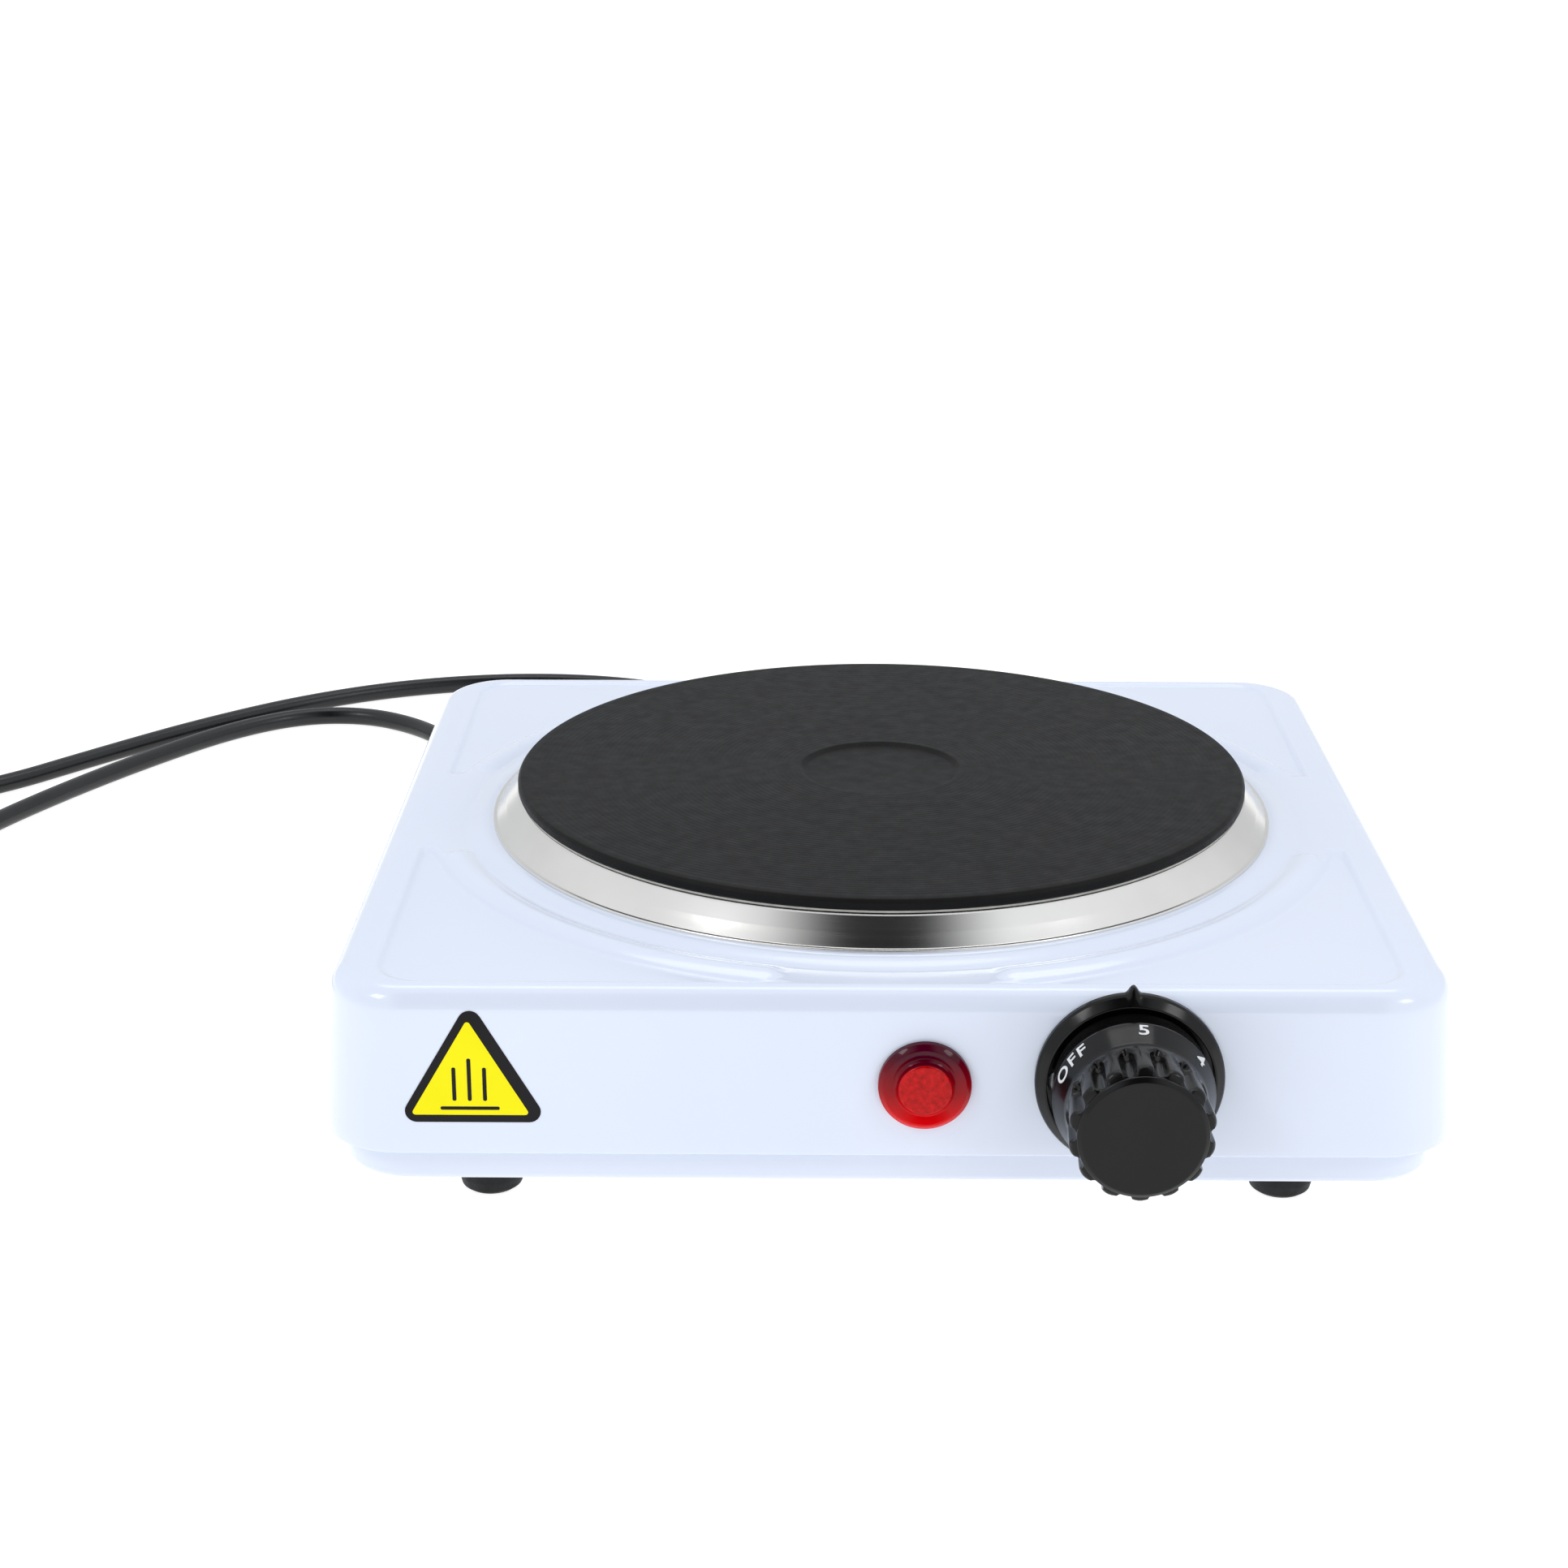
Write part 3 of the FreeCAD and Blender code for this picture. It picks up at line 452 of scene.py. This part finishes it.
# ------------------------------------------------------------- top housing
def rim_points(n_long=150, n_short=140, n_corner=28):
    """Unit description of the rounded rectangle: (corner centre or side point, outward direction)."""
    out = []
    hx, hy, r = HX_RIM, HY, CORNER_R
    def side(p, q, n, normal):
        for i in range(n):
            t = i / n
            out.append((p[0] + (q[0] - p[0]) * t, p[1] + (q[1] - p[1]) * t, normal[0], normal[1]))
    def corner(cx, cy, a0):
        for i in range(n_corner):
            a = math.radians(a0 + 90.0 * i / n_corner)
            out.append((cx, cy, math.cos(a), math.sin(a)))
    # stored as the inner skeleton point plus the direction out
    sx, sy = hx - r, hy - r
    side((sx, -sy), (sx, sy), n_short, (1, 0)); corner(sx, sy, 0)
    side((sx, sy), (-sx, sy), n_long, (0, 1)); corner(-sx, sy, 90)
    side((-sx, sy), (-sx, -sy), n_short, (-1, 0)); corner(-sx, -sy, 180)
    side((-sx, -sy), (sx, -sy), n_long, (0, -1)); corner(sx, -sy, 270)
    return out


RIM = rim_points()


def rim_at(i, inset, z):
    sx, sy, nx, ny = RIM[i]
    draft = (HX_RIM - HX_TOP) * (z - Z_RIM) / (Z_TOP - Z_RIM)
    r = CORNER_R - inset
    x = sx + nx * r
    x -= draft * (x / (HX_RIM - inset))
    return x, YC + sy + ny * r


ARC_R, ARC_W, ARC_H = 100.6, 3.9, 1.1
A0, A1 = math.radians(14.6), math.radians(71.6)


def relief_height(x, y):
    """Pressed shape of the top: raised arcs and sunk corner panels, with soft shoulders."""
    y -= YC
    ax, ay = abs(x), abs(y)
    r = math.hypot(ax, ay)
    h = 0.0
    phi = math.atan2(ax, ay)
    c = min(max(phi, A0), A1)
    d = math.hypot(ax - ARC_R * math.sin(c), ay - ARC_R * math.cos(c))
    if d < ARC_W:
        q = d / ARC_W
        h += ARC_H * (1 - q * q) ** 1.5
    # panels
    cx, cy, rr = 104.5 - 9.0, 101.8 - 9.0, 9.0
    qx, qy = ax - cx, ay - cy
    d_out = math.hypot(max(qx, 0), max(qy, 0)) + min(max(qx, qy), 0.0) - rr
    d_in = max(22.0 - ax, 27.0 - ay)
    d_arc = 104.9 - r
    dist = max(d_out, d_in, d_arc)
    h -= 0.8 * smooth01((0.9 - dist) / 1.8)
    # raised collar round the plate well
    h += (COLLAR_Z - Z_TOP) * (1 - smooth01((r - 91.6) / 5.9))
    return h


def housing_mesh():
    n = len(RIM)
    rows = []
    # outer wall from the rim up
    wall = [(0.35, Z_RIM + 0.0), (0.08, Z_RIM + 0.12), (0.0, Z_RIM + 0.45), (0.0, Z_RIM + 3.0)]
    for k in range(1, 9):
        wall.append((0.0, Z_RIM + 3.0 + (Z_TOP - TOP_R - Z_RIM - 3.0) * k / 8))
    for k in range(1, 15):
        a = math.radians(90.0 * k / 14)
        wall.append((TOP_R * (1 - math.cos(a)), Z_TOP - TOP_R + TOP_R * math.sin(a)))
    for inset, z in wall:
        rows.append([(*rim_at(i, inset, z), z) for i in range(n)])
    edge = rows[-1]
    steps = 110
    for k in range(1, steps + 1):
        t = k / steps
        row = []
        for i in range(n):
            ex, ey, _ = edge[i]
            dx, dy = ex, ey - YC
            l = math.hypot(dx, dy)
            hx, hy = dx / l * (HOLE_R + 0.9), dy / l * (HOLE_R + 0.9)
            x, y = dx + (hx - dx) * t, dy + (hy - dy) * t
            row.append((x, YC + y, Z_TOP + relief_height(x, YC + y)))
        rows.append(row)
    # rolled edge of the plate well, then the underside back to the rim
    for r, z in ((HOLE_R + 0.4, COLLAR_Z - 0.12), (HOLE_R, COLLAR_Z - 0.5), (HOLE_R, 54.6), (HOLE_R + 0.3, 54.45), (90.6, 54.45), (91.1, 52.1)):
        rows.append([(x / math.hypot(x, y - YC) * r, YC + (y - YC) / math.hypot(x, y - YC) * r, z) for x, y, _ in edge])
    for k in range(1, 7):
        t = k / 6
        row = []
        for i in range(n):
            ex, ey = rim_at(i, TOP_R, Z_TOP - 1)
            l = math.hypot(ex, ey - YC)
            hx, hy = ex / l * 91.4, (ey - YC) / l * 91.4
            row.append((hx + (ex - hx) * t, YC + hy + (ey - YC - hy) * t, 52.1))
        rows.append(row)
    for k in range(1, 9):
        a = math.radians(90.0 * k / 8)
        rows.append([(*rim_at(i, SHEET + 4.0 * (1 - math.sin(a)), Z_TOP - 6), 52.1 - 4.0 * (1 - math.cos(a))) for i in range(n)])
    for k in range(1, 5):
        z = 48.1 + (Z_RIM + 0.3 - 48.1) * k / 4
        rows.append([(*rim_at(i, SHEET, z), z) for i in range(n)])
    rows.append([(*rim_at(i, SHEET - 0.3, Z_RIM), Z_RIM) for i in range(n)])
    verts = [p for row in rows for p in row]
    faces = []
    m = len(rows)
    for j in range(m):
        a, b = j * n, ((j + 1) % m) * n
        for i in range(n):
            i2 = (i + 1) % n
            faces.append((a + i, a + i2, b + i2, b + i))
    return verts, faces


v, f = housing_mesh()
housing = outward(add_mesh("housing_shell", v, f, "white_enamel", sharp=60))
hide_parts("top_housing")

# ------------------------------------------------------------ ring and plate
ring_profile = rounded([
    (90.6, 55.4), (90.6, 55.95, 0.25), (89.8, 56.05, 0.4), (87.5, 58.6, 6.0), (84.85, 61.3, 0.7), (84.2, 61.8, 0.3), (82.4, 61.8, 0.2),
    (82.4, 50.0), (83.0, 50.0), (83.0, 61.1), (83.9, 61.1), (89.0, 55.4)], 6)
v, f = lathe(ring_profile, about_z(), 360)
ring = outward(add_mesh("trim_ring", v, f, "polished_steel", sharp=50))
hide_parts("steel_trim_ring")

plate_profile = [(0, 64.1), (8.0, 64.1), (17.6, 64.1, 0.8), (18.8, 64.88, 0.5)]
r = 20.0
while r < 81.6:
    plate_profile += [(r, 64.89), (r + 0.35, 64.85), (r + 0.7, 64.89)]
    r += 1.25
plate_profile += [(82.9, 64.9), (84.1, 64.82, 0.6), (84.7, 64.1, 0.6), (84.7, 62.7, 0.5), (84.2, 62.2, 0.3), (82.0, 62.2), (82.0, 52.0), (76.0, 52.0),
                  (76.0, 58.0), (22.0, 58.0), (22.0, 50.0), (3.9, 50.0), (3.9, 56.5), (0, 56.5)]
v, f = lathe(rounded(plate_profile, 4, closed=False), about_z(), 288, closed=False)
plate = outward(add_mesh("hot_plate", v, f, "cast_iron_black", sharp=40))
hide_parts("cast_iron_plate")

# ------------------------------------------------------------------- bezel
bz = rounded([(5.4, 0), (19.15, 0), (19.15, 1.1, 0.35), (18.8, 1.7, 0.3), (18.3, 2.17), (17.35, 3.1, 0.3), (16.9, 3.2, 0.2), (16.8, 2.9, 0.15), (16.75, 1.0), (5.4, 1.0)], 4)


def bezel_radius(r, h, a):
    """A pointed swelling at the top marks the setting."""
    d = (a + math.pi) % (2 * math.pi) - math.pi
    if r > 18.2:
        s = min(1.0, abs(d) * 19.0 / 1.7)
        return r + 1.6 * (0.5 + 0.5 * math.cos(math.pi * s)) * smooth01((r - 18.2) / 0.7)
    return r


v, f = lathe(bz, about_front(KX, KZ), 360, radius=bezel_radius)
bezel = outward(add_mesh("dial_bezel", v, f, "black_gloss_plastic", sharp=45))
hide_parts("knob_bezel")


def bezel_mark():
    """Small raised chevron on the sloping face of the bezel, pointing up."""
    verts, faces = [], []
    def on_bevel(u, w, up):
        # u across, w along the slope from the inner rim outwards
        r = 17.35 + (18.75 - 17.35) * w
        h = 3.1 + (1.7 - 3.1) * w
        n = (1.4, 1.4)
        ln = math.hypot(*n)
        r2, h2 = r + up * n[0] / ln, h + up * n[1] / ln
        a = u / r2
        return (KX + r2 * math.sin(a), YF - h2, KZ + r2 * math.cos(a))
    for s in (-1, 1):
        path = [(0.0, 1.0), (s * 0.9, 0.12)]
        w2 = 0.13
        base = len(verts)
        for up in (-0.1, 0.14):
            for (u, w) in path:
                verts.append(on_bevel(u - w2, w, up)); verts.append(on_bevel(u + w2, w, up))
        b = base
        faces += [(b, b + 1, b + 3, b + 2), (b + 4, b + 6, b + 7, b + 5), (b, b + 4, b + 5, b + 1),
                  (b + 2, b + 3, b + 7, b + 6), (b, b + 2, b + 6, b + 4), (b + 1, b + 5, b + 7, b + 3)]
    return verts, faces


v, f = bezel_mark()
outward(add_mesh("bezel_chevron", v, f, "black_gloss_plastic", sharp=30))

# -------------------------------------------------------------------- knob
RIBS = 14


def knob_radius(r, h, a):
    """Rounded lobes with flutes between them; each flute starts as an arch in the cone."""
    if not (14.4 < h < 25.75) or r < 11.5:
        return r
    pitch = 2 * math.pi / RIBS
    u = abs(((a / pitch) % 1.0) * 2 - 1)      # 0 in the middle of a flute, 1 on a lobe
    x = u * pitch / 2 * 14.3                  # distance from the middle of the flute
    half = 1.62
    start = 15.2 + 1.7 * min(1.0, x / half) ** 2
    cut = smooth01((h - start) / 0.9) * (max(0.0, 1 - (x / half) ** 2.2)) ** 0.8
    crown = (1 - u) * pitch / 2 * 14.3        # distance from the crest of the lobe
    lobe = -0.30 * min(1.0, crown / 1.6) ** 2
    deep = r - max(0.0, r - 12.85) * cut
    return deep + lobe * smooth01((h - 15.4) / 2.4) * (1 - smooth01((h - 24.9) / 0.6))


kp = [(0, 27.0), (6.0, 27.0), (11.6, 26.97, 1.2), (12.0, 26.9, 0.5), (12.85, 26.3, 0.35), (12.95, 25.95, 0.15), (12.75, 25.78, 0.1)]
front = rounded(kp, 4, closed=False)
grip = []
for i in range(49):
    t = i / 48
    h = 25.7 - t * (25.7 - 14.5)
    if h > 24.3:
        r = 12.75 + (14.5 - 12.75) * math.sqrt(max(0.0, 1 - ((h - 24.3) / 1.4) ** 2))
    else:
        r = 14.5 - 0.4 * smooth01((24.3 - h) / 9.8)
    grip.append((r, h))
cone = [(14.1 + 2.1 * k / 6, 14.35 - 5.05 * k / 6) for k in range(7)]
cone += rounded([cone[-1], (16.3, 9.1, 0.25), (16.3, 8.5, 0.25), (16.0, 7.9), (15.8, 2.8, 0.3), (14.2, 2.8), (14.2, 7.6), (10.8, 12.5), (5.6, 12.5), (5.6, 2.8), (3.05, 2.8), (3.05, 20.0), (0, 20.0)], 4, closed=False)[1:]
v, f = lathe(front + grip + cone, about_front(KX, KZ), 14 * 36, closed=False, radius=knob_radius)
knob = outward(add_mesh("dial_knob", v, f, "black_gloss_plastic", body="dial", sharp=50))
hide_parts("knob")


def dial_text(label, centre_deg, size):
    cu = bpy.data.curves.new("t_" + label, "FONT")
    cu.body = label
    cu.size = size
    cu.align_x = "CENTER"
    cu.align_y = "CENTER"
    cu.extrude = 0.05
    cu.offset = 0.05
    cu.space_character = 1.18
    tmp = bpy.data.objects.new("tmp_" + label, cu)
    bpy.context.scene.collection.objects.link(tmp)
    me = bpy.data.meshes.new_from_object(tmp.evaluated_get(bpy.context.evaluated_depsgraph_get()))
    bpy.data.objects.remove(tmp)
    xs = [p.co.x for p in me.vertices]; ys = [p.co.y for p in me.vertices]
    mx, my = (min(xs) + max(xs)) / 2, (min(ys) + max(ys)) / 2
    (r0, h0), (r1, h1) = (16.3, 9.1), (14.1, 14.5)
    ln = math.hypot(r1 - r0, h1 - h0)
    ur, uh = (r0 - r1) / ln, (h0 - h1) / ln
    nr, nh = -uh, ur
    stretch = 1.35
    mid = 1.65 / ln
    cr, ch = r0 + (r1 - r0) * mid, h0 + (h1 - h0) * mid
    verts = []
    for p in me.vertices:
        t = (p.co.y - my)
        up = 0.05 + p.co.z * 0.9
        r = cr + ur * t + nr * up
        h = ch + uh * t + nh * up
        a = math.radians(centre_deg) + (p.co.x - mx) * stretch / cr
        verts.append((KX + r * math.sin(a), YF - h, KZ + r * math.cos(a)))
    faces = [tuple(p.vertices) for p in me.polygons]
    o = add_mesh("dial_mark_" + label, verts, faces, "print_white", body="dial", sharp=30)
    return outward(o)


dial_text("OFF", -57.5, 3.6)
for i, d in enumerate("54321"):
    dial_text(d, 4.0 + 49.5 * i, 3.7)

# -------------------------------------------------------------------- lamp
lp = rounded([(0, 3.2), (4.6, 3.2), (5.35, 3.1, 0.5), (5.75, 2.0, 0.25), (6.3, 1.5, 0.4), (8.3, 2.3, 0.6), (9.45, 1.2, 0.4), (9.5, 0.0), (6.0, 0.0), (6.0, -15.0), (4.5, -15.0), (4.5, 0.7), (0, 0.7)], 4, closed=False)
v, f = lathe(lp, about_front(LX, LZ), 128, closed=False)
lens = outward(add_mesh("pilot_lamp", v, f, "red_lens", sharp=45))
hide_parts("lamp_lens")


# ------------------------------------------------------- hot surface sign
def tri(size, r, xc, zc, y0, y1, n=8):
    """Rounded triangle, point up, as a thin closed slab. y0 is the back."""
    h = size * math.sqrt(3) / 2
    pts = [(-size / 2, -h / 3, r), (size / 2, -h / 3, r), (0, 2 * h / 3, r)]
    loop = rounded(pts, n)
    verts = [(xc + x, y0, zc + z) for x, z in loop] + [(xc + x * 0.998, y1, zc + z * 0.998) for x, z in loop]
    k = len(loop)
    faces = [tuple(range(k)), tuple(range(2 * k - 1, k - 1, -1))]
    faces += [(i, k + i, k + (i + 1) % k, (i + 1) % k) for i in range(k)]
    return verts, faces


v, f = tri(31.2, 2.4, -84.6, 34.2, YF + 0.02, YF - 0.11)
sign = outward(add_mesh("sign_border", v, f, "sign_black", sharp=30))
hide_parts("hot_surface_sign")
v, f = tri(24.4, 0.6, -85.1, 33.9, YF - 0.06, YF - 0.15)
outward(add_mesh("sign_field", v, f, "sign_yellow", sharp=30))


def slab(points, name):
    k = len(points)
    verts = [(x, YF - 0.12, z) for x, z in points] + [(x, YF - 0.185, z) for x, z in points]
    faces = [tuple(range(k)), tuple(range(2 * k - 1, k - 1, -1))]
    faces += [(i, k + i, k + (i + 1) % k, (i + 1) % k) for i in range(k)]
    return outward(add_mesh(name, verts, faces, "sign_black", sharp=30))


slab(rounded([(-91.1, 28.0, 0.3), (-79.1, 28.0, 0.3), (-79.1, 28.75, 0.3), (-91.1, 28.75, 0.3)], 4), "sign_bar_base")
for i, (x, top) in enumerate(((-88.2, 37.4), (-85.1, 39.4), (-82.0, 37.4))):
    slab(rounded([(x - 0.4, 30.0, 0.36), (x + 0.4, 30.0, 0.36), (x + 0.4, top, 0.36), (x - 0.4, top, 0.36)], 4), "sign_bar_%d" % i)

# --------------------------------------------------------------------- feet
foot_profile = rounded([(2.2, 11.0), (7.5, 11.0), (7.5, 9.2, 0.5), (6.9, 3.0, 2.0), (6.4, 0.9, 0.8), (5.2, 0.0, 0.5), (3.8, 0.0, 0.3), (3.8, 6.4), (2.2, 6.4)], 5)
for i, (sx, sy) in enumerate(((-1, -1), (1, -1), (-1, 1), (1, 1))):
    v, f = lathe(foot_profile, about_z(sx * 83.9, YC + sy * 85.8), 64)
    foot = outward(add_mesh("rubber_foot_%d" % (i + 1), v, f, "black_rubber", sharp=45))
    if i == 0:
        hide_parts("rubber_feet")

# ------------------------------------------------------------ floor and light
floor_mesh = bpy.data.meshes.new("floor")
floor_mesh.from_pydata([(-30, -30, 0), (30, -30, 0), (30, 30, 0), (-30, 30, 0)], [], [(0, 1, 2, 3)])
floor = bpy.data.objects.new("floor", floor_mesh)
bpy.context.scene.collection.objects.link(floor)
fm, fnt, fb = new_material("floor")
ftc = node(fnt, "ShaderNodeTexCoord").outputs["Object"]
fcol = ramp(fnt, noise(fnt, ftc, 3.0), [(0.3, grey(0.38)), (0.7, grey(0.40))])
fnt.links.new(fcol, fb.inputs["Base Color"])
fb.inputs["Emission Color"].default_value = (1.0, 1.0, 1.0, 1.0)
fb.inputs["Emission Strength"].default_value = 0.88
fb.inputs["Roughness"].default_value = 0.9
fb.inputs["Specular IOR Level"].default_value = 0.1
floor_mesh.materials.append(fm)

world = bpy.data.worlds.new("studio")
bpy.context.scene.world = world
world.use_nodes = True
wnt = world.node_tree
bg = wnt.nodes["Background"]
wtc = node(wnt, "ShaderNodeTexCoord").outputs["Generated"]
# a soft dark strip in front of the object gives polished metal its dark core
sep = node(wnt, "ShaderNodeSeparateXYZ")
wnt.links.new(wtc, sep.inputs[0])
ax = node(wnt, "ShaderNodeMath", operation="ABSOLUTE")
wnt.links.new(sep.outputs["X"], ax.inputs[0])
mask_x = node(wnt, "ShaderNodeMapRange", interpolation_type="SMOOTHSTEP")
mask_x.inputs["From Min"].default_value = 0.12
mask_x.inputs["From Max"].default_value = 0.46
mask_x.inputs["To Min"].default_value = 1.0
mask_x.inputs["To Max"].default_value = 0.0
wnt.links.new(ax.outputs[0], mask_x.inputs["Value"])
mask_y = node(wnt, "ShaderNodeMapRange", interpolation_type="SMOOTHSTEP")
mask_y.inputs["From Min"].default_value = -0.10
mask_y.inputs["From Max"].default_value = -0.27
mask_y.inputs["To Min"].default_value = 0.0
mask_y.inputs["To Max"].default_value = 1.0
wnt.links.new(sep.outputs["Y"], mask_y.inputs["Value"])
mask = node(wnt, "ShaderNodeMath", operation="MULTIPLY")
wnt.links.new(mask_x.outputs[0], mask.inputs[0]); wnt.links.new(mask_y.outputs[0], mask.inputs[1])
tone = node(wnt, "ShaderNodeMix", data_type="RGBA")
tone.inputs["A"].default_value = (0.95, 0.97, 1.0, 1.0)
tone.inputs["B"].default_value = (0.01, 0.01, 0.012, 1.0)
wnt.links.new(mask.outputs[0], tone.inputs["Factor"])
# the far side of the studio is a little dimmer
far = node(wnt, "ShaderNodeMapRange", interpolation_type="SMOOTHSTEP")
far.inputs["From Min"].default_value = 0.25
far.inputs["From Max"].default_value = 0.85
far.inputs["To Min"].default_value = 1.0
far.inputs["To Max"].default_value = 0.78
wnt.links.new(sep.outputs["Y"], far.inputs["Value"])
dim = node(wnt, "ShaderNodeVectorMath", operation="SCALE")
wnt.links.new(tone.outputs["Result"], dim.inputs[0])
wnt.links.new(far.outputs[0], dim.inputs["Scale"])
wnt.links.new(dim.outputs[0], bg.inputs["Color"])
bg.inputs["Strength"].default_value = 1.0


def area(name, loc, target, size, energy, colour=(1, 1, 1)):
    d = bpy.data.lights.new(name, "AREA")
    d.shape = "RECTANGLE"
    d.size, d.size_y = size
    d.energy = energy
    d.color = colour
    o = bpy.data.objects.new(name, d)
    bpy.context.scene.collection.objects.link(o)
    o.location = loc
    o.rotation_euler = (Vector(target) - Vector(loc)).to_track_quat("-Z", "Y").to_euler()
    return o


area("key", (-1.2, -0.8, 1.4), (0, 0, 0.03), (0.45, 0.45), 4.0)
area("fill", (1.3, -0.8, 1.3), (0, 0, 0.03), (0.45, 0.45), 3.0)
area("top", (0.0, 0.6, 1.6), (0, 0, 0.0), (1.4, 0.4), 3.5)

bpy.context.scene.view_settings.view_transform = "Standard"
bpy.context.scene.view_settings.look = "None"
